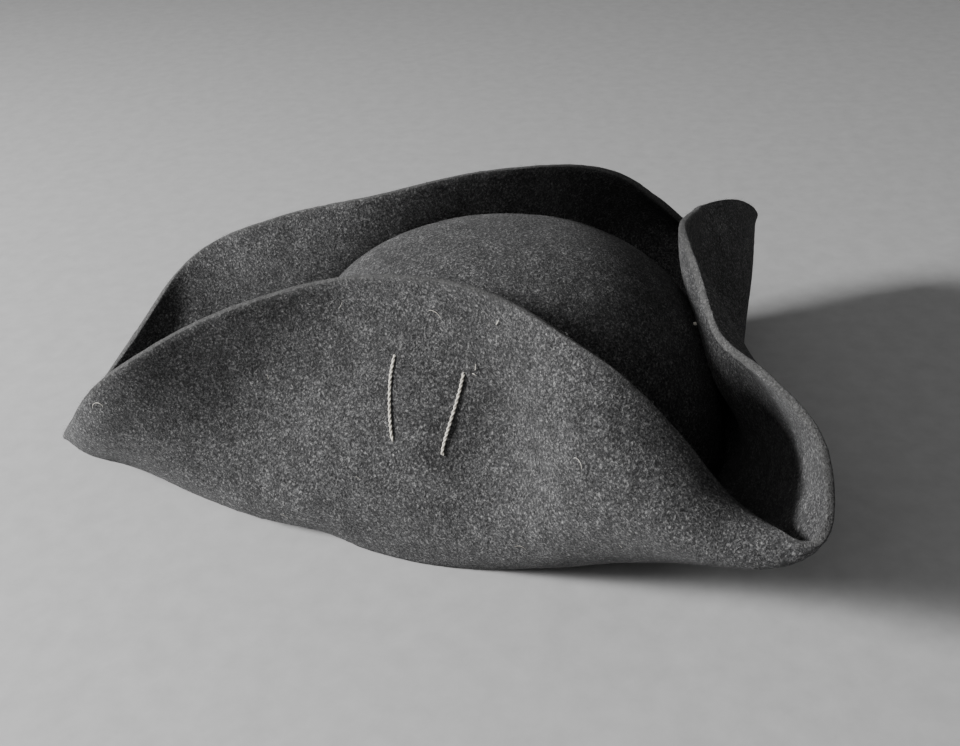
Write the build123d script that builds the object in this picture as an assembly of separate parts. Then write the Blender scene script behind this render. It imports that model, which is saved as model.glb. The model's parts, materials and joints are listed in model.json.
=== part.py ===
"""Three-cornered felt hat: blocked crown, cocked brim, sweatband and twine ties.

Millimetres, +Z up.  The origin is the middle of the head opening, on the surface
that the hat stands on.  -Y is the front corner and +X is the wearer's left.
"""
from build123d import *
import os
from math import cos, sin, exp, radians, degrees, pi, floor

os.makedirs("parts", exist_ok=True)

# ---- Felt body ---------------------------------------------------------------
FELT = 3.2              # thickness of the wool felt
HEAD_LENGTH = 202.0     # outside of the crown at its base, front to back
HEAD_WIDTH = 172.0      # outside of the crown at its base, side to side
CROWN_HEIGHT = 113.0    # top of the crown above the table
CROWN_FULLNESS = 2.55   # exponent of the dome's profile: 2 is an ellipse, more is boxier
DOME_STEPS = 12         # steps of the dome's profile, from its base to its top
BREAK_FLAT = 2.0        # flat of the brim outside the crown, before it turns up
FOLD_SHARE = 0.06       # share of the brim's width that the turn-up takes

# ---- How the brim is cocked --------------------------------------------------
# Each row is one place around the half brim, by its angle from the front corner.
# "belly" is halfway out across the felt and "edge" is the cut edge.  Both are
# (outward from the crown, along the crown towards the back, up from the break).
BRIM_ROWS = [
    # angle, belly, edge
    (0, (56, 0, 4), (108, 0, 11)),          # front corner, on the centre line
    (3, (56, 0, 4), (106, -1, 14)),
    (16, (54, -3, 14), (89, -11, 41)),
    (30, (44, -8, 34), (67, -23, 76)),      # front cheek of the side flap
    (45, (24, -13, 50), (19, -36, 98)),
    (62, (-1, -9, 59), (-24, -20, 112)),    # side flap over the front of the crown
    (80, (2, 4, 61), (-20, 15, 116)),       # highest place of the side flap
    (98, (18, 12, 53), (19, 32, 102)),
    (110, (38, 5, 41), (44, 28, 79)),
    (119, (50, 0, 31), (65, 18, 59)),
    (130, (57, -2, 27), (101, -6, 61)),     # rear corner
    (140, (54, -4, 35), (83, -20, 83)),
    (150, (42, -8, 45), (48, -35, 92)),
    (161, (20, -12, 53), (7, -37, 97)),
    (180, (-3, 0, 58), (-23, 0, 112)),      # back flap, on the centre line
]
# The ties pull the flaps in against the crown, around these places.
PULL_ANGLES = (76.0, 180.0)
PULL_SHARE = 0.66       # how far out across the felt the pull is
PULL_DEPTH = 7.0
PULL_SPREAD_ANGLE = 15.0
PULL_SPREAD_SHARE = 0.2
BRIM_COLUMNS = 90       # places around the brim that its surfaces are drawn through
RING_SHARES = [0.0, 0.05, 0.12, 0.25, 0.4, 0.6, 0.8, 1.0]   # and the rings across it

# ---- Sweatband ---------------------------------------------------------------
BAND_THICKNESS = 0.8
BAND_HEIGHT = 26.0
BAND_LIFT = 1.5         # lower edge of the band above the table
BAND_CLEARANCE = 0.3    # from the band to the crown at the band's top edge
BAND_LAP = 18.0         # how far the band's ends lap at the back
BAND_RAMP = 12.0        # length over which the lapping end steps inwards
LAP_GAP = 0.1           # between the two ends where they lap
BAND_POINTS = 72        # places around the band that its curves are drawn through

# ---- Stitches that hold the sweatband ----------------------------------------
THREAD = 0.5            # thread diameter
STITCH_LENGTH = 4.0
STITCH_PITCH = 8.0
STITCH_RISE = 3.5       # stitch line above the band's lower edge
STITCH_BITE = 1.5       # how deep a stitch goes into the felt
STITCH_CORNER = 0.4     # bend of the thread where it enters the band

# ---- Twine ties that hold the flaps up ---------------------------------------
TWINE = 1.3             # twine diameter
TIE_PROUD = 0.3         # from the twine to the felt along its straight runs
TIE_BOW = 0.9           # how far a run stands off further at its middle
TIE_CORNER = 1.4        # bend of the twine where it enters the felt
OUTER_BEND = 30.0       # gentle bend at the middle of the run on the flap
KNOT = 4.2              # across the knot
KNOT_CORNER = 1.05      # rounding of the knot's block, and where the twine enters it
KNOT_PROUD = 1.6        # how far the knot stands in from the runs beside it
# Each tie's upper and lower hole: (angle from the front corner, height).
SIDE_TIES = {
    "front": ((65.0, 86.0), (68.0, 56.0)),
    "rear": ((85.0, 83.0), (80.5, 53.0)),
}
BACK_TIE = ((172.0, 83.0), (172.5, 54.0))

half_length = HEAD_LENGTH / 2
half_width = HEAD_WIDTH / 2


def oval_frame(angle, grow=0.0):
    """Foot on the crown's base oval moved out by grow, outward and along directions."""
    t = radians(angle)
    outward = Vector(sin(t) / half_width, -cos(t) / half_length, 0).normalized()
    foot = Vector(half_width * sin(t), -half_length * cos(t), 0) + outward * grow
    along = Vector(-outward.Y, outward.X, 0)
    return foot, outward, along


def mirrored(point):
    return Vector(-point.X, point.Y, point.Z)


# ---- Crown -------------------------------------------------------------------
def dome(length, width, height):
    """Solid dome on an oval base at z = 0."""
    power = 2 / CROWN_FULLNESS
    points = []
    for k in range(DOME_STEPS + 1):
        lean = pi / 2 * k / DOME_STEPS
        points.append((length / 2 * abs(cos(lean)) ** power, height * sin(lean) ** power))
    points[-1] = (0, height)
    profile = Spline(*points, tangents=[(0, 1), (-1, 0)])
    floor_line = Line((0, 0), points[0])
    axis_line = Line(points[-1], (0, 0))
    face = make_face(Plane.XZ * Wire([floor_line, profile, axis_line]))
    return scale(revolve(face, Axis.Z), by=(width / length, 1, 1))


def crown():
    """Felt dome that stands on the brim's inner edge."""
    outside = dome(HEAD_LENGTH, HEAD_WIDTH, CROWN_HEIGHT)
    inside = dome(HEAD_LENGTH - 2 * FELT, HEAD_WIDTH - 2 * FELT, CROWN_HEIGHT - FELT)
    below = Pos(0, 0, FELT / 2) * Box(2 * HEAD_LENGTH, 2 * HEAD_LENGTH, FELT)
    return outside - inside - below


def wall_share(height):
    """How much of its base size the inside of the crown keeps at a height."""
    return (1 - (height / (CROWN_HEIGHT - FELT)) ** CROWN_FULLNESS) ** (1 / CROWN_FULLNESS)


# ---- Brim --------------------------------------------------------------------
def flipped(row, angle):
    """The same row on the other half of the brim."""
    _, belly, edge = row
    return angle, (belly[0], -belly[1], belly[2]), (edge[0], -edge[1], edge[2])


def row_slope(rows, i, part):
    """Change of a row's belly (1) or edge (2) with angle."""
    before, after = rows[i - 1], rows[i + 1]
    return (Vector(*after[part]) - Vector(*before[part])) / (after[0] - before[0])


def row_between(angle):
    """Belly and edge at any angle of the half brim, smoothly between the rows."""
    rows = [flipped(BRIM_ROWS[1], -BRIM_ROWS[1][0])] + BRIM_ROWS
    rows.append(flipped(BRIM_ROWS[-2], 360 - BRIM_ROWS[-2][0]))
    i = max(k for k in range(1, len(rows) - 2) if rows[k][0] <= angle)
    gap = rows[i + 1][0] - rows[i][0]
    s = (angle - rows[i][0]) / gap
    places = []
    for part in (1, 2):
        start = Vector(*rows[i][part]) * (1 + 2 * s) * (1 - s) ** 2
        end = Vector(*rows[i + 1][part]) * s**2 * (3 - 2 * s)
        leave = row_slope(rows, i, part) * gap * s * (1 - s) ** 2
        arrive = row_slope(rows, i + 1, part) * gap * s**2 * (s - 1)
        places.append(start + end + leave + arrive)
    return places


def pull_in(angle, share):
    """How far the ties pull the felt in at a place."""
    across = exp(-(((share - PULL_SHARE) / PULL_SPREAD_SHARE) ** 2))
    around = sum(exp(-(((angle - at) / PULL_SPREAD_ANGLE) ** 2)) for at in PULL_ANGLES)
    return PULL_DEPTH * across * around * share


def brim_middle(angle, share):
    """Middle of the felt at an angle, at a share of the way from the break to the edge."""
    belly, edge = row_between(angle)
    foot, outward, along = oval_frame(angle, BREAK_FLAT)
    place = belly * 4 * share * (1 - share) + edge * share * (2 * share - 1)
    turn = share * (1 + FOLD_SHARE) / (share + FOLD_SHARE)
    rise = Vector(0, 0, FELT / 2 + place.Z * turn)
    out = place.X - pull_in(angle, share)
    return foot + outward * out + along * place.Y + rise


def brim_grid():
    """Points on the middle of the felt: one list per ring, from the break outwards."""
    half = BRIM_COLUMNS // 2
    angles = [180 * i / half for i in range(half + 1)]
    grid = []
    for share in RING_SHARES:
        left = [brim_middle(angle, share) for angle in angles]
        right = [mirrored(point) for point in left[-2:0:-1]]
        grid.append(left + right)
    return grid


def brim_rings(grid, side):
    """Closed curves on the felt's surface: side is 1 for the top, -1 for the underside."""
    rings = []
    for k, ring in enumerate(grid):
        inner = grid[max(k - 1, 0)]
        outer = grid[min(k + 1, len(grid) - 1)]
        surface = []
        for i, point in enumerate(ring):
            around = ring[(i + 1) % len(ring)] - ring[i - 1]
            across = outer[i] - inner[i]
            normal = Vector(0, 0, 1) if k == 0 else across.cross(around).normalized()
            surface.append(point + normal * side * FELT / 2)
        rings.append(Wire([Edge.make_spline(surface, periodic=True)]))
    return rings


def brim():
    """Brim turned up on three sides, with the flat ring that the crown stands on."""
    grid = brim_grid()
    top = brim_rings(grid, 1)
    underside = brim_rings(grid, -1)
    opening = Wire([Edge.make_ellipse(half_width - FELT, half_length - FELT)])
    raised_opening = opening.moved(Location((0, 0, FELT)))
    faces = []
    faces += Shell.make_loft(top).faces()
    faces += Shell.make_loft(underside).faces()
    faces += Shell.make_loft([top[-1], underside[-1]], True).faces()
    faces += Shell.make_loft([opening, raised_opening], True).faces()
    faces += [Face(underside[0], [opening]), Face(top[0], [raised_opening])]
    return Solid(Shell(faces))


# ---- Sweatband ---------------------------------------------------------------
band_top = BAND_LIFT + BAND_HEIGHT
band_half_length = (half_length - FELT) * wall_share(band_top) - BAND_CLEARANCE
band_half_width = (half_width - FELT) * wall_share(band_top) - BAND_CLEARANCE
lap_angle = degrees(BAND_LAP / band_half_width)
ramp_angle = degrees(BAND_RAMP / band_half_width)


def band_point(angle, depth):
    """Point on the sweatband, depth in from its outer face, at height 0."""
    t = radians(angle)
    inward = Vector(-sin(t) / band_half_width, cos(t) / band_half_length, 0).normalized()
    ramp_start = 180 - lap_angle / 2 - ramp_angle
    step = min(max((angle - ramp_start) / ramp_angle, 0), 1)
    step_in = (BAND_THICKNESS + LAP_GAP) * step * step * (3 - 2 * step)
    foot = Vector(band_half_width * sin(t), -band_half_length * cos(t), 0)
    return foot + inward * (depth + step_in), inward


def sweatband():
    """Ribbon around the inside of the head opening, its ends lapped at the back."""
    reach = 180 + lap_angle / 2
    angles = [-reach + 2 * reach * i / BAND_POINTS for i in range(BAND_POINTS + 1)]
    outer = [band_point(angle, 0)[0] for angle in angles]
    inner = [band_point(angle, BAND_THICKNESS)[0] for angle in angles]
    outline = Wire([
        Edge.make_spline(outer),
        Edge.make_line(outer[-1], inner[-1]),
        Edge.make_spline(inner[::-1]),
        Edge.make_line(inner[0], outer[0]),
    ])
    return Pos(0, 0, BAND_LIFT) * extrude(Face(outline), BAND_HEIGHT, dir=(0, 0, 1))


def one_stitch():
    """Thread bar along X with two legs towards +Y, its face side at y = 0."""
    leg = THREAD / 2 + BAND_THICKNESS + (half_length - FELT - band_half_length) + STITCH_BITE
    half = STITCH_LENGTH / 2
    corners = [(-half, leg), (-half, THREAD / 2), (half, THREAD / 2), (half, leg)]
    path = FilletPolyline(*corners, radius=STITCH_CORNER)
    section = Plane(origin=path @ 0, z_dir=path % 0) * Circle(THREAD / 2)
    return sweep(section, path=path)


def sweatband_stitching():
    """Row of stitches around the band's lower edge."""
    around = pi * (band_half_length + band_half_width)
    count = floor(around / STITCH_PITCH)
    stitch = one_stitch()
    stitches = []
    for i in range(count):
        angle = -180 + 360 * (i + 0.5) / count
        place, inward = band_point(angle, BAND_THICKNESS + THREAD)
        lift = Vector(0, 0, BAND_LIFT + STITCH_RISE)
        plane = Plane(origin=place + lift, x_dir=inward.cross(Vector(0, 0, 1)), z_dir=(0, 0, 1))
        stitches.append(plane.location * stitch)
    return Compound(stitches)


# ---- Twine ties --------------------------------------------------------------
def felt_hits(felt, angle, height):
    """Where a needle pushed straight in at an angle and height meets the felt."""
    foot, outward, _ = oval_frame(angle, HEAD_LENGTH)
    needle = Axis(foot + Vector(0, 0, height), -outward)
    places = [place for place, _ in felt.find_intersection_points(needle)]
    return sorted(places, key=lambda place: (place - needle.position).length)


def tie_route(holes, brim_felt, crown_felt):
    """Corners of a tie's route: knot, upper hole, outer run, lower hole, knot."""
    stand_off = TWINE / 2 + TIE_PROUD
    outside, inside = [], []
    for angle, height in holes:
        outward = oval_frame(angle)[1]
        outside.append(felt_hits(brim_felt, angle, height)[0] + outward * stand_off)
        inside.append(felt_hits(crown_felt, angle, height)[1] - outward * stand_off)
    outward = oval_frame(holes[0][0])[1]
    outer_middle = (outside[0] + outside[1]) / 2 + outward * TIE_BOW
    knot = (inside[0] + inside[1]) / 2 - outward * KNOT_PROUD
    return [knot, inside[0], outside[0], outer_middle, outside[1], inside[1], knot]


def tie(route):
    """Twine stitch through flap and crown, knotted inside the crown."""
    knot = route[0]
    first = knot + (route[1] - knot).normalized() * KNOT_CORNER
    last = knot + (route[-2] - knot).normalized() * KNOT_CORNER
    corners = [first] + route[1:-1] + [last]
    bends = [TIE_CORNER, TIE_CORNER, OUTER_BEND, TIE_CORNER, TIE_CORNER]
    path = FilletPolyline(*corners, radius=bends)
    section = Plane(origin=path @ 0, z_dir=path % 0) * Circle(TWINE / 2)
    twine = sweep(section, path=path)
    block = Box(KNOT, KNOT, KNOT)
    block = fillet(block.edges(), KNOT_CORNER)
    sideways = (route[1] - knot).cross(route[2] - route[1])
    return twine + Plane(origin=knot, x_dir=route[1] - knot, z_dir=sideways) * block


def all_ties(brim_felt, crown_felt):
    """Every tie's route by its name; the right side mirrors the left."""
    routes = {}
    for place, holes in SIDE_TIES.items():
        routes[f"left_{place}_tie"] = tie_route(holes, brim_felt, crown_felt)
    routes["back_left_tie"] = tie_route(BACK_TIE, brim_felt, crown_felt)
    for name, route in list(routes.items()):
        other = name.replace("left", "right")
        routes[other] = [mirrored(corner) for corner in route]
    return routes


def hat():
    """Every piece by its node's name."""
    crown_felt, brim_felt = crown(), brim()
    pieces = {
        "crown": crown_felt,
        "brim": brim_felt,
        "sweatband": sweatband(),
        "sweatband_stitching": sweatband_stitching(),
    }
    for name, route in all_ties(brim_felt, crown_felt).items():
        pieces[name] = tie(route)
    return pieces


for node, piece in hat().items():
    export_step(piece, f"parts/{node}.step")
    print(node, "solids", len(piece.solids()), "volume", round(piece.volume, 1))
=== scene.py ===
# %% [markdown]
# # A cocked felt hat
# A three-cornered hat starts as a round-brimmed felt hat. The brim is steamed, turned
# up on three sides and tied to the crown with a few stitches of twine. We take the
# measured frame from CAD, then make each soft piece here: the felt itself, the twine
# ties, the ribbon inside and the loose fibres that make felt look like felt.

# %% Load the frame
import bpy
import json
import math
import numpy as np
from mathutils import Matrix, Vector, noise
from mathutils.bvhtree import BVHTree

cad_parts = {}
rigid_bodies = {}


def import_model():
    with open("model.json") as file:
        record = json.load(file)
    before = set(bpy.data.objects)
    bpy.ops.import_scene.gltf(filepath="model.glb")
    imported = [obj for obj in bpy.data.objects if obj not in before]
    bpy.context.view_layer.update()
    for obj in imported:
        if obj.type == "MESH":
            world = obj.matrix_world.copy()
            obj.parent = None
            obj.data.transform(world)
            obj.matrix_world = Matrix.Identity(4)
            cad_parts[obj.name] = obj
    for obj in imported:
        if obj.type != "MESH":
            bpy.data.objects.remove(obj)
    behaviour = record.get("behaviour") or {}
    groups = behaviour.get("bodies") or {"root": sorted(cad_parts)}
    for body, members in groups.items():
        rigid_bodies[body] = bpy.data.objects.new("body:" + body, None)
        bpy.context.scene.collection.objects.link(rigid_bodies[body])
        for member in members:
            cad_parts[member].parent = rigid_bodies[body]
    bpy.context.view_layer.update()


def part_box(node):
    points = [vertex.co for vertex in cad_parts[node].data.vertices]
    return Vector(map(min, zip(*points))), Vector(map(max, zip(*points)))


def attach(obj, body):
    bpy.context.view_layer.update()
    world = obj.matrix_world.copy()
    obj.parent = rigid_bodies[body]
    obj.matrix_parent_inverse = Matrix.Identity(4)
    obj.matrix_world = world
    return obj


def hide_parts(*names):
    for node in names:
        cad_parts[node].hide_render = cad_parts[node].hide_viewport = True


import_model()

# %% [markdown]
# ## The camera
# The hat is looked at from the wearer's left, a little above the crown, with the front
# corner on the left of the picture. The focal length is a short portrait lens.

# %% Camera
CAMERA_PLACE = Vector((0.527, 0.054, 0.328))
CAMERA_HEADING = math.radians(-6.94)    # from looking straight along -X
CAMERA_DOWN = math.radians(28.1)
CAMERA_TILT = math.radians(-3.2)
LENS = 49.4


def make_camera():
    forward = Vector((
        -math.cos(CAMERA_HEADING) * math.cos(CAMERA_DOWN),
        math.sin(CAMERA_HEADING) * math.cos(CAMERA_DOWN),
        -math.sin(CAMERA_DOWN),
    ))
    right = forward.cross(Vector((0, 0, 1))).normalized()
    up = right.cross(forward)
    tilted_right = right * math.cos(CAMERA_TILT) + up * math.sin(CAMERA_TILT)
    tilted_up = up * math.cos(CAMERA_TILT) - right * math.sin(CAMERA_TILT)
    turn = Matrix((tilted_right, tilted_up, -forward)).transposed()
    data = bpy.data.cameras.new("camera")
    data.lens = LENS
    data.clip_start, data.clip_end = 0.01, 20
    camera = bpy.data.objects.new("camera", data)
    camera.matrix_world = Matrix.Translation(CAMERA_PLACE) @ turn.to_4x4()
    bpy.context.collection.objects.link(camera)
    bpy.context.scene.camera = camera


make_camera()

# %% [markdown]
# ## The shape of the crown
# A hat block's plan is an oval and its profile is fuller than an ellipse. The oval's
# size comes from the crown that CAD made, and the felt's thickness and the fullness
# repeat its values, so the felt fits it. We work on the middle of the thickness and add
# the two faces afterwards.

# %% Crown block
FELT = 0.0032
FULLNESS = 2.55
crown_low, crown_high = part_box("crown")
half_width = (crown_high[0] - crown_low[0]) / 2
half_length = (crown_high[1] - crown_low[1]) / 2
crown_height = crown_high[2]
print("crown block", round(half_width, 4), round(half_length, 4), round(crown_height, 4))


def oval(angle, out=0.0):
    """Places on the crown's base oval, moved out, and the outward and along directions."""
    outward = np.stack([np.sin(angle) / half_width, -np.cos(angle) / half_length, 0 * angle], -1)
    outward /= np.linalg.norm(outward, axis=-1, keepdims=True)
    foot = np.stack([half_width * np.sin(angle), -half_length * np.cos(angle), 0 * angle], -1)
    along = np.stack([-outward[..., 1], outward[..., 0], 0 * angle], -1)
    return foot + outward * np.asarray(out)[..., None], outward, along


def block_size(places, out):
    """1 on the block moved out by a distance, less inside it, more outside it."""
    wide = (places[..., 0] / (half_width + out)) ** 2 + (places[..., 1] / (half_length + out)) ** 2
    high = np.maximum(places[..., 2], 0) / (crown_height + out)
    return (wide ** (FULLNESS / 2) + high**FULLNESS) ** (1 / FULLNESS)


# %% [markdown]
# ## The line of the cut edge
# A cocked brim is drawn by its cut edge: where the edge goes, the felt has to follow.
# We give places around half the hat: outward from the crown, along it and up. They
# weren't chosen by hand. A separate curve fit and a relaxation of the felt gave them,
# and they were rounded to a millimetre. A smooth curve joins them, and the other half
# mirrors it but for the changes listed below.

# %% Places of the brim
# angle from the front corner, then belly and edge: (outward, along, up) in millimetres
BRIM_PLACES = [
    (0, (56, 0, 4), (108, 0, 11)),
    (3, (56, 0, 4), (106, -1, 14)),
    (16, (54, -3, 14), (89, -11, 41)),
    (30, (44, -8, 34), (67, -23, 76)),
    (45, (24, -13, 50), (19, -36, 98)),
    (62, (-1, -9, 59), (-24, -20, 112)),
    (80, (2, 4, 61), (-20, 15, 116)),
    (98, (18, 12, 53), (19, 32, 102)),
    (110, (38, 5, 41), (44, 28, 79)),
    (119, (50, 0, 31), (65, 18, 59)),
    (130, (57, -2, 27), (101, -6, 61)),
    (140, (54, -4, 35), (83, -20, 83)),
    (150, (42, -8, 45), (48, -35, 92)),
    (161, (20, -12, 53), (7, -37, 97)),
    (180, (-3, 0, 58), (-23, 0, 112)),
]
# felt hats are never the same on both sides: what to add to these places on the right
RIGHT_CHANGES = {
    130: ((-7, 0, 0), (4, 2, -5)),
    140: ((-12, 0, 0), (-9, 0, -7)),
    150: ((-9, 0, 0), (-4, 0, -4)),
    161: ((-4, 0, 0), (0, 0, -1)),
}
AROUND = 180        # columns of felt around the hat
ACROSS = 22         # rows of felt from the crown to the cut edge
BREAK_FLAT = 0.002  # flat of the brim outside the crown
FOLD_SHARE = 0.06   # share of the brim that the turn-up takes


def smooth_between(angles, places, wanted):
    """Cubic curve through places at angles, read at the wanted angles."""
    slope = np.zeros_like(places)
    slope[1:-1] = (places[2:] - places[:-2]) / (angles[2:] - angles[:-2])[:, None]
    k = np.clip(np.searchsorted(angles, wanted, side="right") - 1, 1, len(angles) - 3)
    gap = (angles[k + 1] - angles[k])[:, None]
    s = (wanted - angles[k])[:, None] / gap
    start = places[k] * (1 + 2 * s) * (1 - s) ** 2 + slope[k] * gap * s * (1 - s) ** 2
    end = places[k + 1] * s**2 * (3 - 2 * s) + slope[k + 1] * gap * s**2 * (s - 1)
    return start + end


def one_side(part, changes):
    """Belly (1) or edge (2) at every column, as if both sides had these changes."""
    flip = np.array([1, -1, 1])
    none = ((0, 0, 0), (0, 0, 0))
    half = [(row[0], (np.array(row[part]) + changes.get(row[0], none)[part - 1]) / 1000)
            for row in BRIM_PLACES]
    rows = [(-half[1][0], half[1][1] * flip)] + half + [(360 - half[-2][0], half[-2][1] * flip)]
    angles = np.array([row[0] for row in rows], float)
    places = np.array([row[1] for row in rows])
    columns = np.arange(AROUND) * 360 / AROUND
    return smooth_between(angles, places, np.minimum(columns, 360 - columns))


def around_the_hat(part):
    """Belly (1) or edge (2) at every column, the right side with its own changes."""
    columns = np.arange(AROUND) * 360 / AROUND
    right = one_side(part, RIGHT_CHANGES) * np.array([1, -1, 1])
    return np.where((columns > 180)[:, None], right, one_side(part, {}))


def brim_start():
    """First guess of the brim: an arc from the crown through the belly to the edge."""
    angle = np.arange(AROUND) * 2 * np.pi / AROUND
    foot, outward, along = oval(angle, np.full(AROUND, BREAK_FLAT))
    belly, edge = around_the_hat(1), around_the_hat(2)
    rows = []
    for share in np.linspace(0, 1, ACROSS):
        place = belly * 4 * share * (1 - share) + edge * share * (2 * share - 1)
        turn = share * (1 + FOLD_SHARE) / (share + FOLD_SHARE)
        up = np.array([0, 0, 1.0]) * (FELT / 2 + place[:, 2:] * turn)
        rows.append(foot + outward * place[:, :1] + along * place[:, 1:2] + up)
    return np.stack(rows, 1)


brim_middle = brim_start()
edge_length = np.linalg.norm(np.roll(brim_middle[:, -1], -1, 0) - brim_middle[:, -1], axis=1).sum()
print("cut edge", round(edge_length, 3), "m long")

# %% [markdown]
# ## Steaming the brim into shape
# Steamed felt bends easily but hardly stretches. We treat it as a net of springs: each
# knot keeps its distance to its neighbours, stays a little stiff against bending, rests
# on the table and can't pass into the crown. The cut edge is drawn to its places, and
# the twine pulls the felt in where the ties are. After enough small steps the net lies
# much as felt would, with soft dimples that would be hard to draw by hand.

# %% Where the ties are
# upper and lower hole: (angle from the front corner in degrees, height in metres)
TIE_HOLES = {
    "left_front_tie": ((65.0, 0.086), (68.0, 0.056)),
    "left_rear_tie": ((85.0, 0.083), (80.5, 0.053)),
    "back_left_tie": ((172.0, 0.074), (172.5, 0.047)),
}
for name, holes in list(TIE_HOLES.items()):
    TIE_HOLES[name.replace("left", "right")] = tuple((-angle, up) for angle, up in holes)
print("ties", sorted(TIE_HOLES))

# %% Spring net
STEPS = 4200
TIME_STEP = 0.35
DAMPING = 0.985
STIFF_BEND = 0.12
STIFF_SHEAR = 0.35
EDGE_HOLD = 0.25
TIE_HOLD = 0.5
FIRST_TURN = 0.004      # how far the second row may rise, which keeps the fold round
TIGHT_FOLD = (66, 18, 0.0022)   # near this angle, over this spread, it may rise more
EDGE_FROM = 0.006       # how far outside the crown's foot the edge's distance is taken
SMOOTH_COLUMNS = 12     # columns each side that the cut's width is smoothed over
SMOOTH_SPREAD = 4.5
BRIM_SLACK = 0.0045     # spare felt where the edge is pinned further out than it was cut
# width the brim was cut to, from the right of the back round to the left: (angle, metres)
BRIM_WIDTHS = [
    (-180, 0.110), (-160, 0.106), (-135, 0.104), (-108, 0.117), (-90, 0.113), (-60, 0.112),
    (-42, 0.116), (-20, 0.111), (0, 0.1065), (20, 0.111), (44, 0.1165), (62, 0.1115),
    (84, 0.1125), (108, 0.1195), (135, 0.113), (180, 0.110),
]


def length_of(v):
    return np.linalg.norm(v, axis=-1)


def next_column(net):
    return np.roll(net, -1, axis=0)


def cut_felt(edge):
    """Rest lengths of the felt: around, across and diagonal, from a flat round brim."""
    angle = np.arange(AROUND) * 2 * np.pi / AROUND
    foot, outward, _ = oval(angle, np.zeros(AROUND))
    turned = (np.degrees(angle) + 180) % 360 - 180
    cut = np.interp(turned, *zip(*BRIM_WIDTHS))
    reach = np.maximum(length_of(edge - foot - outward * EDGE_FROM) + BRIM_SLACK, cut)
    near = SMOOTH_COLUMNS
    window = np.exp(-0.5 * (np.arange(-near, near + 1) / SMOOTH_SPREAD) ** 2)
    reach = np.convolve(np.r_[reach[-near:], reach, reach[:near]], window / window.sum(), "valid")
    shares = np.linspace(0, 1, ACROSS)
    flat = foot[:, None] + outward[:, None] * (shares[None, :, None] * reach[:, None, None])
    around = length_of(next_column(flat) - flat)
    edge_now = length_of(next_column(edge) - edge).sum()
    around = around * (1 + (edge_now / around[:, -1].sum() - 1) * shares)
    across = length_of(flat[:, 1:] - flat[:, :-1])
    wide = (around[:, :-1] + around[:, 1:]) / 2
    tall = (across + next_column(across)) / 2
    return around, across, np.hypot(wide, tall), flat


def spring(start, end, rest, stiffness):
    gap = end - start
    size = np.maximum(length_of(gap), 1e-9)
    return (stiffness * (1 - rest / size))[..., None] * gap


def tie_knots(across):
    """Columns and rows of the net that lie under the ties, with the felt taut below."""
    knots = set()
    for upper, lower in TIE_HOLES.values():
        for share in np.linspace(0, 1, 9):
            angle, up = np.array(upper) * (1 - share) + np.array(lower) * share
            column = round(angle / 360 * AROUND) % AROUND
            walked = np.r_[0, np.cumsum(across[column])]
            knots.add((column, int(np.argmin(abs(walked - up)))))
    return tuple(np.array(sorted(knots)).T)


def steam(net):
    """The brim's net after it has settled."""
    edge = net[:, -1].copy()
    around, across, diagonal, flat = cut_felt(edge)
    curl = length_of(next_column(flat) - 2 * flat + np.roll(flat, 1, axis=0))[..., None]
    bend_around = STIFF_BEND * (across.mean() / around.mean()) ** 2
    base = net[:, 0].copy()
    knots = tie_knots(across)
    speed = np.zeros_like(net)
    rows = np.arange(ACROSS)[None, :]
    turned = abs((np.arange(AROUND) * 360 / AROUND + 180) % 360 - 180)
    at, spread, more = TIGHT_FOLD
    rise = FELT / 2 + FIRST_TURN + more * np.exp(-(((turned - at) / spread) ** 2))
    for step in range(STEPS):
        beside = next_column(net)
        push = np.zeros_like(net)
        pull = spring(net, beside, around, 1.0)
        push += pull - np.roll(pull, 1, axis=0)
        pull = spring(net[:, :-1], net[:, 1:], across, 1.0)
        push[:, :-1] += pull
        push[:, 1:] -= pull
        pull = spring(net[:, :-1], beside[:, 1:], diagonal, STIFF_SHEAR)
        push[:, :-1] += pull
        push[:, 1:] -= np.roll(pull, 1, axis=0)
        pull = spring(net[:, 1:], beside[:, :-1], diagonal, STIFF_SHEAR)
        push[:, 1:] += pull
        push[:, :-1] -= np.roll(pull, 1, axis=0)
        sag = STIFF_BEND * (net[:, 2:] - 2 * net[:, 1:-1] + net[:, :-2])
        push[:, 1:-1] += 2 * sag
        push[:, 2:] -= sag
        push[:, :-2] -= sag
        outward = np.gradient(net, axis=1)
        outward /= length_of(outward)[..., None]
        sag = bend_around * (beside - 2 * net + np.roll(net, 1, axis=0) + curl * outward)
        push += 2 * sag - np.roll(sag, 1, axis=0) - np.roll(sag, -1, axis=0)
        speed = (speed + push * TIME_STEP) * DAMPING
        net = net + speed * TIME_STEP
        net[:, 0], speed[:, 0] = base, 0
        net[:, 1, 2] = np.minimum(net[:, 1, 2], rise)
        net[:, -1] += (edge - net[:, -1]) * EDGE_HOLD
        speed[:, -1] *= 1 - EDGE_HOLD
        size = block_size(net, FELT / 2)[..., None]
        tied = size[knots]
        sideways = np.array([1.0, 1.0, 0.0])
        net[knots] += net[knots] * sideways * (1 / tied - 1) * TIE_HOLD
        inside = (size[..., 0] < 1) & (rows > 0)
        net[inside] += net[inside] * sideways * (1 / size[inside] - 1)
        speed[inside] *= 0.5
        net[..., 2] = np.maximum(net[..., 2], FELT / 2)
    stretch = length_of(net[:, 1:] - net[:, :-1]) / across
    print("across stretch", round(stretch.min(), 3), "to", round(stretch.max(), 3))
    print("felt under the ties lies at heights", np.round(net[knots][:, 2], 3))
    print("and at", np.round(block_size(net, FELT / 2)[knots], 3), "of the crown's size")
    return net


brim_middle = steam(brim_middle)

# %% [markdown]
# ## One skin for crown and brim
# On the real hat the crown and the brim are one piece of felt with no seam, so we make
# one closed skin. We add the dome's rows and the small round where the dome turns into
# the brim, make the net finer, and then grow the two faces from the middle.

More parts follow.
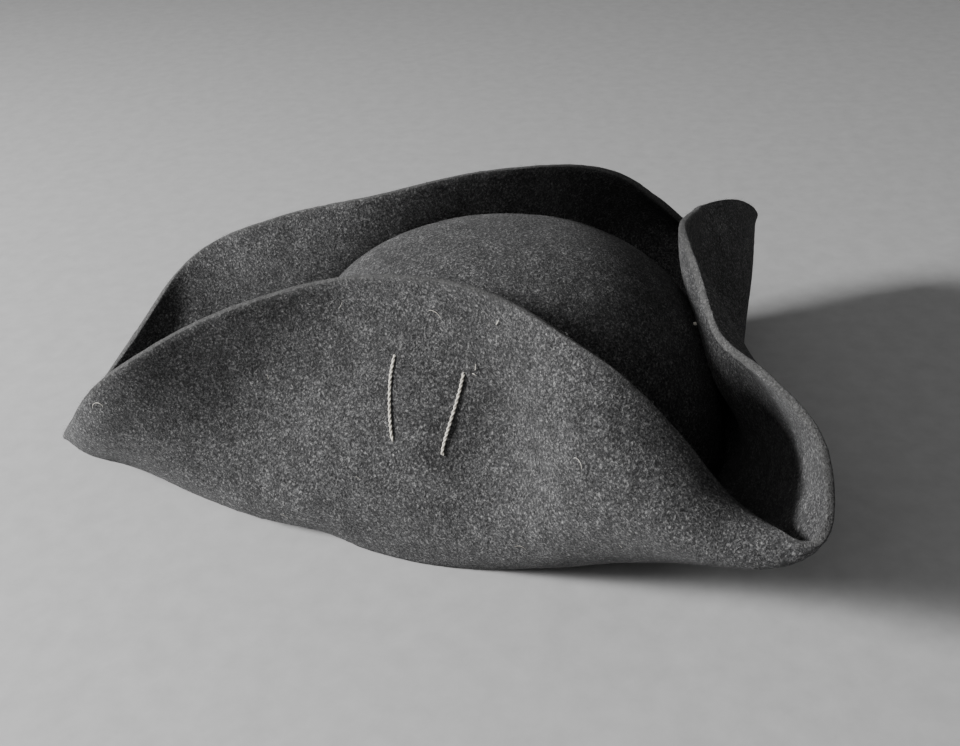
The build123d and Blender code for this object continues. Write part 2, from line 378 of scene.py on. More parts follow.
# %% Middle of the felt, apex to cut edge
DOME_ROWS = 30
BREAK_RADIUS = 0.003
COLUMN_ANGLES = np.arange(AROUND) * 2 * np.pi / AROUND


def dome_rows():
    """Rows from just beside the apex down to where the brim starts."""
    lean = np.linspace(0, np.pi / 2, 2001)
    wide = np.cos(lean) ** (2 / FULLNESS)
    high = np.sin(lean) ** (2 / FULLNESS)
    top = crown_height - FELT / 2
    walked = np.r_[0, np.cumsum(np.hypot(np.diff(wide) * half_length, np.diff(high) * top))]
    first = np.interp(FELT / 2 + BREAK_RADIUS, high * top, walked)
    rows = []
    for distance in np.linspace(walked[-1] * 0.995, first, DOME_ROWS):
        share = np.interp(distance, walked, wide)
        height = np.interp(distance, walked, high * top)
        foot, _, _ = oval(COLUMN_ANGLES, np.full(AROUND, -FELT / 2))
        rows.append(foot * share + np.array([0, 0, height]))
    for turn in (math.radians(30), math.radians(60)):
        out = BREAK_RADIUS * (1 - math.cos(turn)) - FELT / 2
        foot, _, _ = oval(COLUMN_ANGLES, np.full(AROUND, out))
        drop = FELT / 2 + BREAK_RADIUS * (1 - math.sin(turn))
        rows.append(foot + np.array([0, 0, drop]))
    return np.stack(rows, 1)


def finer(net, axis):
    """Twice as many rows or columns, on a smooth curve through the old ones."""
    net = np.moveaxis(net, axis, 0)
    if axis == 0:
        before, after, beyond = np.roll(net, 1, 0), np.roll(net, -1, 0), np.roll(net, -2, 0)
        between = (9 * (net + after) - before - beyond) / 16
        out = np.stack([net, between], 1).reshape(-1, *net.shape[1:])
    else:
        padded = np.concatenate([2 * net[:1] - net[1:2], net, 2 * net[-1:] - net[-2:-1]])
        between = (9 * (padded[1:-2] + padded[2:-1]) - padded[:-3] - padded[3:]) / 16
        out = np.empty((2 * len(net) - 1, *net.shape[1:]))
        out[0::2], out[1::2] = net, between
    return np.moveaxis(out, 0, axis)


felt_middle = np.concatenate([dome_rows(), brim_middle], axis=1)
felt_middle = finer(finer(felt_middle, 0), 1)
COLUMNS, ROWS = felt_middle.shape[:2]
print("felt net", COLUMNS, "by", ROWS)


# %% Grow the faces
LUMP = 0.0005           # slow unevenness of blocked felt
LUMP_SIZE = 0.028
DIMPLE = 0.00022        # small unevenness of its faces
DIMPLE_SIZE = 0.009
EDGE_ROUND = 0.0004     # how far the cut edge stands out at its middle
RIM_HEIGHTS = (0.44, 0.25, 0.0, -0.25, -0.44)   # rows across the cut, as shares of the felt
CUT_LUMP = 0.00025      # roughness of the cut
CUT_LUMP_SIZE = 0.0035


def grid_normals(net):
    around = np.roll(net, -1, 0) - np.roll(net, 1, 0)
    across = np.gradient(net, axis=1)
    normal = np.cross(across, around)
    return normal / np.maximum(length_of(normal)[..., None], 1e-12)


def noise_at(places, size, seed):
    """Smooth noise from about -1 to 1 at every place."""
    shift = Vector((seed, seed * 2, seed * 3))
    flat = places.reshape(-1, 3) / size
    values = [noise.noise(Vector(place) + shift) for place in flat]
    return np.array(values).reshape(places.shape[:-1])


def felt_faces(middle):
    """The face outside the crown and the face inside it."""
    normal = grid_normals(middle)
    slow = noise_at(middle, LUMP_SIZE, 3) * LUMP
    faces = []
    for side in (1, -1):
        small = noise_at(middle + normal * side, DIMPLE_SIZE, 7) * DIMPLE
        out = side * (FELT / 2 + small) + slow
        faces.append(middle + normal * out[..., None])
    faces[1][..., 2] = np.maximum(faces[1][..., 2], 0)
    return faces


def grid_quads(rows, columns):
    r, c = np.meshgrid(np.arange(rows - 1), np.arange(columns), indexing="ij")
    c2 = (c + 1) % columns
    corners = [r * columns + c, r * columns + c2, (r + 1) * columns + c2, (r + 1) * columns + c]
    return np.stack(corners, -1).reshape(-1, 4)


def build_felt(middle):
    outside, inside = felt_faces(middle)
    edge = middle[:, -1]
    off = edge - middle[:, -2]
    off /= length_of(off)[:, None]
    thick = outside[:, -1] - inside[:, -1]
    rim = []
    for height in RIM_HEIGHTS:
        rough = noise_at(edge + thick * height * 3, CUT_LUMP_SIZE, 11) * CUT_LUMP
        bulge = EDGE_ROUND * (1 - (2 * height) ** 4) + rough
        rim.append(edge + (outside[:, -1] + inside[:, -1] - 2 * edge) / 2
                   + thick * height + off * bulge[:, None])
    rows = [outside[:, k] for k in range(ROWS)] + rim
    rows += [inside[:, k] for k in range(ROWS - 1, -1, -1)]
    net = np.stack(rows)
    count = len(rows)
    top, bottom = net[0].mean(0), net[-1].mean(0)
    points = np.concatenate([net.reshape(-1, 3), [top, bottom]])
    quads = grid_quads(count, COLUMNS)[:, ::-1]
    last = (count - 1) * COLUMNS
    faces = quads.tolist()
    for c in range(COLUMNS):
        c2 = (c + 1) % COLUMNS
        faces.append((c, c2, count * COLUMNS))
        faces.append((last + c2, last + c, count * COLUMNS + 1))
    mesh = bpy.data.meshes.new("felt_body")
    mesh.from_pydata(points.tolist(), [], faces)
    mesh.validate()
    mesh.shade_smooth()
    piece = bpy.data.objects.new("felt_body", mesh)
    bpy.context.collection.objects.link(piece)
    return piece


felt_body = build_felt(felt_middle)
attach(felt_body, "root")
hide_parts("crown", "brim")
print("felt body", len(felt_body.data.polygons), "faces")

# %% [markdown]
# ## What felt looks like
# Felt has no weave: it is a mat of wool fibres, so up close it is a field of tiny light
# and dark flecks with swirls of fibre between them. We mix four sizes of noise for the
# colour and use three of them again as bump. Sheen gives the soft bright haze that loose
# fibres make at the felt's edges. The raw cut is painted paler along the rim: a painted
# highlight for the light that the cut edge catches, where its fibres stand end-on.

# %% Node helpers


def new_finish(name):
    finish = bpy.data.materials.new(name)
    finish.use_nodes = True
    tree = finish.node_tree
    shader = tree.nodes["Principled BSDF"]
    return finish, tree, shader


def add_node(tree, kind, links=None, **values):
    """A node with its settings, values for its sockets, and links into its sockets."""
    made = tree.nodes.new(kind)
    for key, value in values.items():
        setattr(made, key, value)
    for socket, source in (links or {}).items():
        if hasattr(source, "is_output"):
            tree.links.new(source, made.inputs[socket])
        else:
            made.inputs[socket].default_value = source
    return made


def speckle(tree, places, size, detail=2.0, roughness=0.6, swirl=0.0):
    """Noise whose flecks are about size metres across."""
    made = add_node(tree, "ShaderNodeTexNoise", {
        "Vector": places, "Scale": 1 / size, "Detail": detail,
        "Roughness": roughness, "Distortion": swirl,
    })
    return made.outputs["Fac"]


def ramp(tree, source, stops):
    """Grey or coloured steps along a value."""
    made = add_node(tree, "ShaderNodeValToRGB", {"Fac": source})
    points = made.color_ramp.elements
    while len(points) < len(stops):
        points.new(0.5)
    for point, (place, colour) in zip(points, stops):
        point.position = place
        point.color = (*colour, 1)
    return made.outputs["Color"]


def blend_colours(tree, mode, share, first, second):
    made = add_node(tree, "ShaderNodeMix", data_type="RGBA", blend_type=mode)
    for socket, source in ((0, share), (6, first), (7, second)):
        if hasattr(source, "is_output"):
            tree.links.new(source, made.inputs[socket])
        else:
            made.inputs[socket].default_value = source
    return made.outputs[2]


def calculate(tree, how, first, second):
    made = add_node(tree, "ShaderNodeMath", {0: first, 1: second}, operation=how)
    return made.outputs[0]


def add_bump(tree, shader, steps):
    """Bumps stacked from (height, distance in metres, strength)."""
    below = None
    for height, distance, strength in steps:
        links = {"Height": height, "Distance": distance, "Strength": strength}
        if below is not None:
            links["Normal"] = below
        below = add_node(tree, "ShaderNodeBump", links).outputs["Normal"]
    tree.links.new(below, shader.inputs["Normal"])


# %% Felt finish
DARK_WOOL = (0.014, 0.014, 0.0145)
MID_WOOL = (0.056, 0.056, 0.057)
LIGHT_WOOL = (0.24, 0.238, 0.234)
# painted highlight: the pale colour of the cut edge stands in for the light it catches
CUT_HIGHLIGHT_WOOL = (0.115, 0.114, 0.112)


def felt_finish():
    finish, tree, shader = new_finish("felt")
    places = add_node(tree, "ShaderNodeTexCoord").outputs["Object"]
    fine = speckle(tree, places, 0.0010, 3.0, 0.72, 0.6)
    swirls = speckle(tree, places, 0.0024, 2.5, 0.68, 2.4)
    patches = speckle(tree, places, 0.009, 3.0, 0.55)
    broad = speckle(tree, places, 0.05, 2.0, 0.5)
    flecks = ramp(tree, fine, [(0.32, DARK_WOOL), (0.52, MID_WOOL), (0.74, LIGHT_WOOL)])
    strands = ramp(tree, swirls, [(0.36, (0.5,) * 3), (0.5, (1.0,) * 3), (0.66, (1.7,) * 3)])
    colour = blend_colours(tree, "MULTIPLY", 1.0, flecks, strands)
    mottle = ramp(tree, patches, [(0.3, (0.72,) * 3), (0.7, (1.25,) * 3)])
    colour = blend_colours(tree, "MULTIPLY", 1.0, colour, mottle)
    wear = ramp(tree, broad, [(0.35, (0.88,) * 3), (0.65, (1.12,) * 3)])
    colour = blend_colours(tree, "MULTIPLY", 1.0, colour, wear)
    # painted highlight: the rim's mask mixes the cut edge towards the pale cut colour
    cut = add_node(tree, "ShaderNodeAttribute", attribute_name="cut_edge_highlight").outputs["Fac"]
    cut_highlight_share = calculate(tree, "MULTIPLY", cut, swirls)
    colour = blend_colours(tree, "MIX", cut_highlight_share, colour, (*CUT_HIGHLIGHT_WOOL, 1))
    tree.links.new(colour, shader.inputs["Base Color"])
    shader.inputs["Roughness"].default_value = 0.96
    shader.inputs["Specular IOR Level"].default_value = 0.18
    shader.inputs["Sheen Weight"].default_value = 0.1
    shader.inputs["Sheen Roughness"].default_value = 0.5
    shader.inputs["Sheen Tint"].default_value = (0.75, 0.75, 0.76, 1)
    add_bump(tree, shader, [
        (patches, 0.0009, 0.5), (swirls, 0.0009, 0.85), (fine, 0.0006, 1.0),
    ])
    return finish


felt_body.data.materials.append(felt_finish())


def mark_cut_edge_highlight():
    """Painted highlight mask: 0 to 1 on the knots, highest at the middle of the cut edge."""
    heights = np.concatenate([
        np.zeros(ROWS), [0.75, 1.0, 1.0, 1.0, 0.75], np.zeros(ROWS),
    ])
    heights[ROWS - 1] = heights[ROWS + 5] = 0.35
    values = np.r_[np.repeat(heights, COLUMNS), 0, 0]
    store = felt_body.data.attributes.new("cut_edge_highlight", "FLOAT", "POINT")
    store.data.foreach_set("value", values.astype(np.float32))


mark_cut_edge_highlight()
print("felt finish on", felt_body.name)

# %% [markdown]
# ## Twine ties
# Each flap is held to the crown by single stitches of two-ply twine, knotted inside. We
# find where a needle pushed straight in meets each face of the felt, lead one line
# through those places, and twist two strands round it. A tube with a twist drawn on it
# would look flat next to the felt, so both plies are real strands.

# %% Needle


def felt_tree():
    mesh = felt_body.data
    knots = [v.co.copy() for v in mesh.vertices]
    return BVHTree.FromPolygons(knots, [tuple(p.vertices) for p in mesh.polygons])


felt_lookup = felt_tree()


NEEDLE_LENGTH = 0.03    # long enough for flap and crown, too short for the far side
NEEDLE_START = 0.2      # how far outside the crown it starts
NEEDLE_REACH = 0.4
PAST_A_FACE = 0.0001    # step past a face before looking for the next


def needle(angle, up):
    """Places where a needle at an angle (degrees) and height meets the felt's faces."""
    _, outward, _ = oval(np.array([math.radians(angle)]))
    outward = Vector(outward[0])
    foot = Vector((half_width * math.sin(math.radians(angle)),
                   -half_length * math.cos(math.radians(angle)), up))
    start = foot + outward * NEEDLE_START
    places = []
    while True:
        hit, normal, _, _ = felt_lookup.ray_cast(start, -outward, NEEDLE_REACH)
        if hit is None or (places and (places[0][0] - hit).length > NEEDLE_LENGTH):
            return places, outward
        places.append((hit, normal))
        start = hit - outward * PAST_A_FACE


for name, holes in sorted(TIE_HOLES.items()):
    found = [len(needle(*hole)[0]) for hole in holes]
    print(name, "faces met at its two holes", found)

# %% Twisted twine
TWINE = 0.00135         # across both plies
LAY = 0.0044            # length of one full twist
PLY_SIDES = 8
TWINE_STEP = 0.00022


def smooth_line(corners, spacing, turns=3):
    """Corners cut to a smooth line, then divided evenly."""
    line = np.array([tuple(c) for c in corners])
    for _ in range(turns):
        first, second = line[:-1], line[1:]
        cut = np.stack([first * 0.75 + second * 0.25, first * 0.25 + second * 0.75], 1)
        line = np.concatenate([line[:1], cut.reshape(-1, 3), line[-1:]])
    walked = np.r_[0, np.cumsum(length_of(np.diff(line, axis=0)))]
    count = max(int(walked[-1] / spacing), 4)
    at = np.linspace(0, walked[-1], count)
    return np.stack([np.interp(at, walked, line[:, k]) for k in range(3)], -1)


def turning_frames(line):
    """Two directions across a line that turn with it and don't spin round it."""
    ahead = np.gradient(line, axis=0)
    ahead /= length_of(ahead)[:, None]
    side = np.cross(ahead[0], [0.3, 0.5, 0.8])
    side /= np.linalg.norm(side)
    sides = []
    for direction in ahead:
        side = side - direction * side.dot(direction)
        side /= np.linalg.norm(side)
        sides.append(side)
    sides = np.array(sides)
    return sides, np.cross(ahead, sides)


def tube_around(line, radius, sides_count):
    """Knots and faces of a closed tube; radius is one number or one per place."""
    first, second = turning_frames(line)
    radius = np.broadcast_to(radius, len(line))[:, None, None]
    turn = np.arange(sides_count) * 2 * np.pi / sides_count
    ring = first[:, None] * np.cos(turn)[:, None] + second[:, None] * np.sin(turn)[:, None]
    knots = (line[:, None] + ring * radius).reshape(-1, 3)
    faces = grid_quads(len(line), sides_count).tolist()
    last = len(knots) - sides_count
    faces.append(list(range(sides_count))[::-1])
    faces.append(list(range(last, last + sides_count)))
    return knots, faces


def plies(line, width, lay, seed):
    """The two strands of a twine that follows a line."""
    first, second = turning_frames(line)
    walked = np.r_[0, np.cumsum(length_of(np.diff(line, axis=0)))]
    luck = np.random.default_rng(seed)
    waver = np.interp(walked, np.linspace(0, walked[-1], 24), luck.normal(0, 0.25, 24))
    turn = walked / lay * 2 * np.pi + waver
    strands = []
    for half in (0, np.pi):
        off = first * np.cos(turn + half)[:, None] + second * np.sin(turn + half)[:, None]
        strand = line + off * width * 0.25
        thick = width * 0.252 * (1 + 0.06 * np.sin(walked / 0.0011 + half + seed))
        strands.append(tube_around(strand, thick, PLY_SIDES))
    return strands


def join_shapes(name, shapes, finish):
    """One piece from several (knots, faces)."""
    knots, faces, start = [], [], 0
    for shape_knots, shape_faces in shapes:
        knots.append(np.asarray(shape_knots))
        faces += [[k + start for k in face] for face in shape_faces]
        start += len(shape_knots)
    mesh = bpy.data.meshes.new(name)
    mesh.from_pydata(np.concatenate(knots).tolist(), [], faces)
    mesh.shade_smooth()
    mesh.materials.append(finish)
    piece = bpy.data.objects.new(name, mesh)
    bpy.context.collection.objects.link(piece)
    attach(piece, "root")
    return piece


def twine_finish():
    finish, tree, shader = new_finish("twine")
    places = add_node(tree, "ShaderNodeTexCoord").outputs["Object"]
    fibres = speckle(tree, places, 0.00028, 3.0, 0.7, 1.5)
    stains = speckle(tree, places, 0.004, 2.0, 0.5)
    colour = ramp(tree, fibres, [
        (0.28, (0.40, 0.37, 0.31)), (0.5, (0.76, 0.72, 0.64)), (0.7, (0.93, 0.91, 0.86)),
    ])
    shade = ramp(tree, stains, [(0.3, (0.75,) * 3), (0.7, (1.1,) * 3)])
    colour = blend_colours(tree, "MULTIPLY", 1.0, colour, shade)
    tree.links.new(colour, shader.inputs["Base Color"])
    shader.inputs["Roughness"].default_value = 0.85
    shader.inputs["Specular IOR Level"].default_value = 0.25
    shader.inputs["Sheen Weight"].default_value = 0.2
    add_bump(tree, shader, [(fibres, 0.00012, 0.8)])
    return finish


twine = twine_finish()
print("twine", round(TWINE * 1000, 2), "mm across")

# %% Ties
# how each outer run leaves a straight line: (share of the way, along the crown, outward)
RUN_BENDS = {
    "left_front_tie": [(0.3, -0.0013, 0.0014), (0.7, -0.0011, 0.0015)],
    "left_rear_tie": [(0.3, 0.0002, 0.0014), (0.62, -0.0004, 0.0018), (0.93, -0.0008, 0.0010)],
}
DEFAULT_BENDS = [(0.3, 0.0004, 0.0013), (0.7, -0.0004, 0.0013)]
KNOT_IN = 0.0016        # how far the knot sits in from the crown's inner face
TAIL = 0.016            # length of each loose tail at the knot
KNOT_SIZE = 0.0013


def loop_knot(middle, run, inward, size):
    """Small overhand knot: a closed line that winds round a ring."""
    run = run.normalized()
    aside = run.cross(inward).normalized()
    places = []
    for k in range(61):
        t = k / 60 * 2 * math.pi
        wide = size * (1 + 0.42 * math.cos(3 * t))
        places.append(middle + run * wide * math.cos(2 * t) + aside * wide * math.sin(2 * t) * 0.8
                      + inward * size * (0.9 + 0.75 * math.sin(3 * t)))
    return places


def make_tie(name, holes, seed):
    (upper, outward), (lower, _) = needle(*holes[0]), needle(*holes[1])
    out_top, out_low = upper[0][0], lower[0][0]
    in_top, in_low = upper[-1][0], lower[-1][0]
    stand = TWINE * 0.5
    along = Vector((0, 0, 1)).cross(outward)
    run = []
    for share, aside, proud in RUN_BENDS.get(name, DEFAULT_BENDS):
        place = out_top.lerp(out_low, share)
        hit, _, _, _ = felt_lookup.ray_cast(place + outward * 0.03, -outward, 0.1)
        run.append(hit + along * aside + outward * (proud - stand))
    inner_top = in_top - outward * stand
    inner_low = in_low - outward * stand
    middle = inner_top.lerp(inner_low, 0.5) - outward * KNOT_IN
    luck = np.random.default_rng(seed)
    route = [middle, inner_top.lerp(middle, 0.3), inner_top, inner_top + outward * 0.001,
             out_top - outward * 0.001, out_top + outward * stand * 1.1]
    route += run
    route += [out_low + outward * stand * 1.1, out_low - outward * 0.001,
              inner_low + outward * 0.001, inner_low, inner_low.lerp(middle, 0.3), middle]
    shapes = plies(smooth_line(route, TWINE_STEP, 2), TWINE, LAY, seed)
    knot = loop_knot(middle, out_low - out_top, -outward, KNOT_SIZE)
    shapes += plies(smooth_line(knot, TWINE_STEP, 1), TWINE, LAY, seed + 1)
    for side in (1, -1):
        drift = Vector(luck.normal(0, 0.003, 3))
        drift -= outward * min(drift.dot(outward), 0)
        drift = drift - outward * 2 * max(drift.dot(outward), 0)
        end = middle + along * side * TAIL * 0.6 + Vector((0, 0, -TAIL * 0.55)) + drift
        half = middle.lerp(end, 0.45) - outward * 0.002 + Vector((0, 0, 0.002))
        tail = smooth_line([middle - outward * 0.001, half, end], TWINE_STEP, 3)
        shapes += plies(tail, TWINE, LAY, seed + 5 + side)
    piece = join_shapes(name, shapes, twine)
    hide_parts(name)
    print(name, "run outside", round((out_top - out_low).length * 1000, 1), "mm")


for seed, (name, holes) in enumerate(sorted(TIE_HOLES.items())):
    make_tie(name, holes, seed * 20 + 3)

# %% [markdown]
# ## Sweatband
# A ribbed ribbon runs round the inside of the head opening and keeps it from stretching.
# Its ribs cross it from edge to edge, so we model them as real waves in the surface: at
# this size they catch light as a row of thin lines. The ends lap at the back.

# %% Ribbon
BAND_HEIGHT = 0.026
BAND_LIFT = 0.0015
BAND_THICK = 0.0008
BAND_CLEARANCE = 0.0003
BAND_LAP = 0.018
BAND_RAMP = 0.012
LAP_GAP = 0.0001
RIB = 0.00125
RIB_DEPTH = 0.00013


def band_oval():
    """Half sizes of the ribbon's outer face."""
    share = (1 - ((BAND_LIFT + BAND_HEIGHT) / (crown_height - FELT)) ** FULLNESS) ** (1 / FULLNESS)
    return ((half_width - FELT) * share - BAND_CLEARANCE,
            (half_length - FELT) * share - BAND_CLEARANCE)


band_wide, band_long = band_oval()


def ribbon_places():
    """Places of the ribbon's outer face along its length, and the inward direction."""
    lap, slope = BAND_LAP / band_wide, BAND_RAMP / band_wide
    reach = math.pi + lap / 2
    count = int(math.pi * (band_wide + band_long) / RIB) * 4
    t = np.linspace(-reach, reach, count)
    inward = np.stack([-np.sin(t) / band_wide, np.cos(t) / band_long, 0 * t], -1)
    inward /= length_of(inward)[:, None]
    foot = np.stack([band_wide * np.sin(t), -band_long * np.cos(t), 0 * t], -1)
    step = np.clip((t - (math.pi - lap / 2 - slope)) / slope, 0, 1)
    step = (BAND_THICK + LAP_GAP) * step * step * (3 - 2 * step)
    return foot + inward * step[:, None], inward


def ribbon():
    places, inward = ribbon_places()
    walked = np.r_[0, np.cumsum(length_of(np.diff(places, axis=0)))]
    wave = np.cos(walked / RIB * 2 * np.pi) * RIB_DEPTH
    section = [(1, 0.0), (0.55, 0.0), (0.08, 0.0), (0.0, 0.25), (0.0, 0.75), (0.08, 1.0),
               (0.35, 1.0), (0.65, 1.0), (0.92, 1.0), (1.0, 0.75), (1.0, 0.25)]
    rows = []
    for share, depth in section:
        edge = 0.0004 if share in (0.0, 1.0) else 0.0
        deep = BAND_THICK * depth + (wave if depth == 1.0 else 0.0)
        sway = np.sin(walked / 0.031) * 0.00025 if share > 0.9 else 0.0
        up = BAND_LIFT + 0.0004 + (BAND_HEIGHT - 0.0008) * share
        up = up + (edge if share else -edge) + sway * (depth > 0.2)
        rows.append(places + inward * np.broadcast_to(deep, len(places))[:, None]
                    + np.array([0, 0, 1.0]) * np.broadcast_to(up, len(places))[:, None])
    net = np.stack(rows, 1)
    faces = grid_quads(net.shape[0], net.shape[1])
    last = (net.shape[0] - 1) * net.shape[1]
    ends = [list(range(net.shape[1]))[::-1], list(range(last, last + net.shape[1]))]
    return net.reshape(-1, 3), faces.tolist() + ends, walked[-1]


def ribbon_finish():
    finish, tree, shader = new_finish("ribbon")
    places = add_node(tree, "ShaderNodeTexCoord").outputs["Object"]
    threads = speckle(tree, places, 0.0004, 3.0, 0.6)
    worn = speckle(tree, places, 0.018, 3.0, 0.55)
    colour = ramp(tree, threads, [(0.35, (0.010, 0.010, 0.011)), (0.65, (0.034, 0.034, 0.036))])
    fade = ramp(tree, worn, [(0.35, (0.8,) * 3), (0.7, (1.5,) * 3)])
    colour = blend_colours(tree, "MULTIPLY", 1.0, colour, fade)
    tree.links.new(colour, shader.inputs["Base Color"])
    shader.inputs["Roughness"].default_value = 0.62
    shader.inputs["Specular IOR Level"].default_value = 0.35
    shader.inputs["Sheen Weight"].default_value = 0.15
    add_bump(tree, shader, [(threads, 0.00012, 0.6)])
    return finish


ribbon_knots, ribbon_faces, ribbon_length = ribbon()
ribbon_shape = (ribbon_knots, ribbon_faces)
sweatband = join_shapes("sweatband_ribbon", [ribbon_shape], ribbon_finish())
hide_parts("sweatband")
print("ribbon", round(ribbon_length, 4), "m long,", BAND_HEIGHT, "m wide")

# %% [markdown]
# ## Thread
# The ribbon is sewn on with small running stitches, which CAD already made as separate
# bars of thread. Their shape is right, so they only need a waxed, twisted look.

# %% Thread finish


def thread_finish():
    finish, tree, shader = new_finish("thread")
    places = add_node(tree, "ShaderNodeTexCoord").outputs["Object"]
    twist = speckle(tree, places, 0.0003, 2.0, 0.6, 1.0)
    colour = ramp(tree, twist, [(0.35, (0.008, 0.008, 0.008)), (0.65, (0.06, 0.06, 0.058))])
    tree.links.new(colour, shader.inputs["Base Color"])
    shader.inputs["Roughness"].default_value = 0.5
    shader.inputs["Sheen Weight"].default_value = 0.1
    add_bump(tree, shader, [(twist, 0.0001, 0.8)])
    return finish


thread = thread_finish()
for piece in bpy.data.objects:
    if piece.type == "MESH" and piece.name == "sweatband_stitching":
        piece.data.materials.clear()
        piece.data.materials.append(thread)
        print("thread finish on", piece.name)

# %% [markdown]
# ## Loose fibres
# Felt is never clean-edged: stray wool stands off it, most of all along the raw cut, and
# pale lint clings to it. Particle hair would do, but plain thin tubes are the same
# in every view. Each fibre starts in the felt, rises a little and bends over.

# %% Stray wool
FIBRES = 6500
EDGE_FIBRES = 2400
FIBRE_THICK = 0.000022
FIBRE_STEPS = 4
FIBRE_SIDES = 3


def surface_places(count, luck):
    """Random places on the felt with the direction straight out of it."""
    mesh = felt_body.data
    mesh.calc_loop_triangles()
    knots = np.empty(len(mesh.vertices) * 3)
    mesh.vertices.foreach_get("co", knots)
    knots = knots.reshape(-1, 3)
    corners = np.empty(len(mesh.loop_triangles) * 3, dtype=np.int32)
    mesh.loop_triangles.foreach_get("vertices", corners)
    a, b, c = (knots[corners.reshape(-1, 3)[:, k]] for k in range(3))
    across = np.cross(b - a, c - a)
    area = length_of(across)
    pick = luck.choice(len(area), count, p=area / area.sum())
    u, v = luck.random(count), luck.random(count)
    over = u + v > 1
    u[over], v[over] = 1 - u[over], 1 - v[over]
    places = a[pick] + (b - a)[pick] * u[:, None] + (c - a)[pick] * v[:, None]
    return places, across[pick] / area[pick][:, None]


def rim_places(count, luck):
    """Random places on the cut edge with the direction straight out of it."""
    column = luck.integers(0, COLUMNS, count)
    edge, before = felt_middle[column, -1], felt_middle[column, -2]
    slide = luck.random(count)[:, None]
    neighbour = felt_middle[(column + 1) % COLUMNS, -1]
    off = edge - before
    off /= length_of(off)[:, None]
    normal = grid_normals(felt_middle)[column, -1]
    up = luck.uniform(-0.45, 0.45, count)[:, None] * FELT
    return edge * (1 - slide) + neighbour * slide + normal * up, off


def fibre_shapes(places, out, lengths, thick, lift, luck):
    """Bent three-sided fibres, all in one (knots, faces)."""
    count = len(places)
    aside = np.cross(out, luck.normal(0, 1, (count, 3)))
    aside /= length_of(aside)[:, None]
    curl = np.cross(aside, out) * luck.uniform(-0.8, 0.8, count)[:, None]
    steps = FIBRE_STEPS
    turn = np.arange(FIBRE_SIDES) * 2 * np.pi / FIBRE_SIDES
    rings = []
    for k in range(steps):
        share = k / (steps - 1)
        rise = lift * math.sin(share * 2.6) * 0.75
        centre = places + out * (rise * lengths - thick * 2)[:, None]
        centre = centre + (aside * share + curl * share**2) * lengths[:, None]
        radius = thick * (1 - 0.6 * share)
        third = np.cross(aside, out)
        ring = (out[:, None] * np.cos(turn)[:, None] + third[:, None] * np.sin(turn)[:, None])
        rings.append(centre[:, None] + ring * radius)
    net = np.stack(rings, 1)
    net[..., 2] = np.maximum(net[..., 2], 0)
    base = grid_quads(steps, FIBRE_SIDES)
    firsts = np.arange(count) * steps * FIBRE_SIDES
    faces = (base[None] + firsts[:, None, None]).reshape(-1, 4)
    return net.reshape(-1, 3), faces.tolist()


def wool_finish():
    finish, tree, shader = new_finish("stray_wool")
    places = add_node(tree, "ShaderNodeTexCoord").outputs["Object"]
    hues = speckle(tree, places, 0.006, 2.0, 0.7)
    colour = ramp(tree, hues, [
        (0.3, (0.02, 0.02, 0.02)), (0.55, (0.09, 0.09, 0.09)), (0.75, (0.35, 0.35, 0.34)),
    ])
    tree.links.new(colour, shader.inputs["Base Color"])
    shader.inputs["Roughness"].default_value = 0.7
    return finish


luck = np.random.default_rng(17)
wool_places, wool_out = surface_places(FIBRES, luck)
body_wool = fibre_shapes(
    wool_places, wool_out, luck.uniform(0.0008, 0.0028, FIBRES), FIBRE_THICK, 0.35, luck)
rim_spots, rim_out = rim_places(EDGE_FIBRES, luck)
rim_wool = fibre_shapes(
    rim_spots, rim_out, luck.uniform(0.0006, 0.0022, EDGE_FIBRES), FIBRE_THICK, 0.8, luck)
join_shapes("stray_wool", [body_wool, rim_wool], wool_finish())
print("stray wool", FIBRES + EDGE_FIBRES, "fibres")

# %% Lint
# pale lint on the left flap: angle, height, length, curl, thickness (metres). Angle and
# height of all but the last three were measured by a separate script, then rounded, and
# a few were moved a little by hand.
LINT_STEPS = 14
LINT_RISE = 0.0006      # how far a hair's middle stands off the felt
LINT = [
    (20.7, 0.061, 0.0050, 2.6, 0.00011),
    (74.4, 0.105, 0.0062, -1.1, 0.00010),
    (94.0, 0.106, 0.0030, 0.3, 0.00020),
    (107.0, 0.070, 0.0052, 1.8, 0.00011),
    (45.5, 0.101, 0.0030, 0.4, 0.00006),
    (42.8, 0.013, 0.0040, 1.5, 0.00006),
    (98.0, 0.024, 0.0042, 2.2, 0.00006),
    (88.0, 0.0850, 0.0026, 0.8, 0.00020),
    (87.3, 0.0835, 0.0020, -1.0, 0.00018),
    (33.0, 0.070, 0.0022, 1.0, 0.00005),
    (60.0, 0.040, 0.0026, -1.2, 0.00005),
    (112.0, 0.040, 0.0024, 1.3, 0.00005),
]


def lint_shape(angle, up, length, curl, thick):
    places, outward = needle(angle, up)
    hit, normal = places[0]
    if normal.dot(outward) < 0:
        normal = -normal
    ahead = Vector((0, 0, 1)).cross(normal).normalized()
    ahead = (ahead + Vector((0, 0, 0.9))).normalized()
    aside = normal.cross(ahead)
    line = []
    for k in range(LINT_STEPS):
        share = k / (LINT_STEPS - 1)
        turn = curl * share
        line.append(hit + normal * (thick + LINT_RISE * math.sin(math.pi * share))
                    + (ahead * math.cos(turn) + aside * math.sin(turn)) * length * share)
    taper = thick * (1 - 0.5 * np.linspace(-1, 1, LINT_STEPS) ** 2)
    return tube_around(np.array([tuple(p) for p in line]), taper, 5)


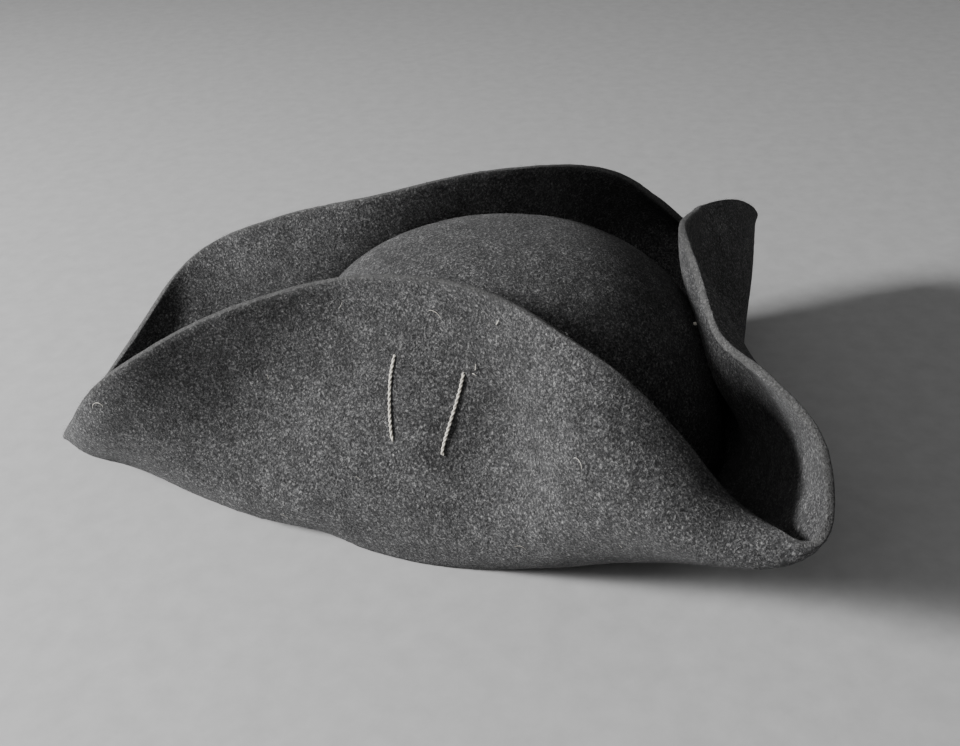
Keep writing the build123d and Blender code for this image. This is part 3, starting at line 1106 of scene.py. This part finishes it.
join_shapes("lint", [lint_shape(*row) for row in LINT], twine)
print("lint", len(LINT), "hairs")

# %% [markdown]
# ## Floor and light
# The hat stands on a pale floor. One soft light high on the front side models the folds
# and lets the shadow fall behind the hat. Two weak lights and the room fill it a little.

# %% Floor
FLOOR_REACH = 6.0
FLOOR_DROP = 0.0003


def sweep_floor():
    """Wide level floor, a hair under the hat so that the two faces don't flicker."""
    size, low = FLOOR_REACH, -FLOOR_DROP
    corners = [(-size, -size, low), (size, -size, low), (size, size, low), (-size, size, low)]
    mesh = bpy.data.meshes.new("sweep")
    mesh.from_pydata(corners, [], [(0, 1, 2, 3)])
    floor = bpy.data.objects.new("sweep", mesh)
    finish, tree, shader = new_finish("pale_paper")
    places = add_node(tree, "ShaderNodeTexCoord").outputs["Object"]
    grain = speckle(tree, places, 0.012, 4.0, 0.6)
    colour = ramp(tree, grain, [(0.3, (0.47, 0.47, 0.47)), (0.7, (0.53, 0.53, 0.53))])
    tree.links.new(colour, shader.inputs["Base Color"])
    shader.inputs["Roughness"].default_value = 0.9
    mesh.materials.append(finish)
    bpy.context.collection.objects.link(floor)


sweep_floor()


def soft_light(name, place, aim, size, power):
    data = bpy.data.lights.new(name, "AREA")
    data.energy, data.size = power, size
    light = bpy.data.objects.new(name, data)
    light.location = place
    light.rotation_euler = (Vector(aim) - Vector(place)).to_track_quat("-Z", "Y").to_euler()
    bpy.context.collection.objects.link(light)


HAT_MIDDLE = (0, 0, 0.05)
soft_light("key_light", (0.55, -1.5, 0.78), HAT_MIDDLE, 0.45, 66)
soft_light("front_fill", (1.5, -0.5, 1.3), HAT_MIDDLE, 1.2, 6)
soft_light("back_fill", (-0.5, 1.7, 1.2), HAT_MIDDLE, 1.2, 4)
room = bpy.data.worlds.new("room")
room.use_nodes = True
room.node_tree.nodes["Background"].inputs["Color"].default_value = (0.8, 0.8, 0.8, 1)
room.node_tree.nodes["Background"].inputs["Strength"].default_value = 0.08
bpy.context.scene.world = room
print("lights ready")
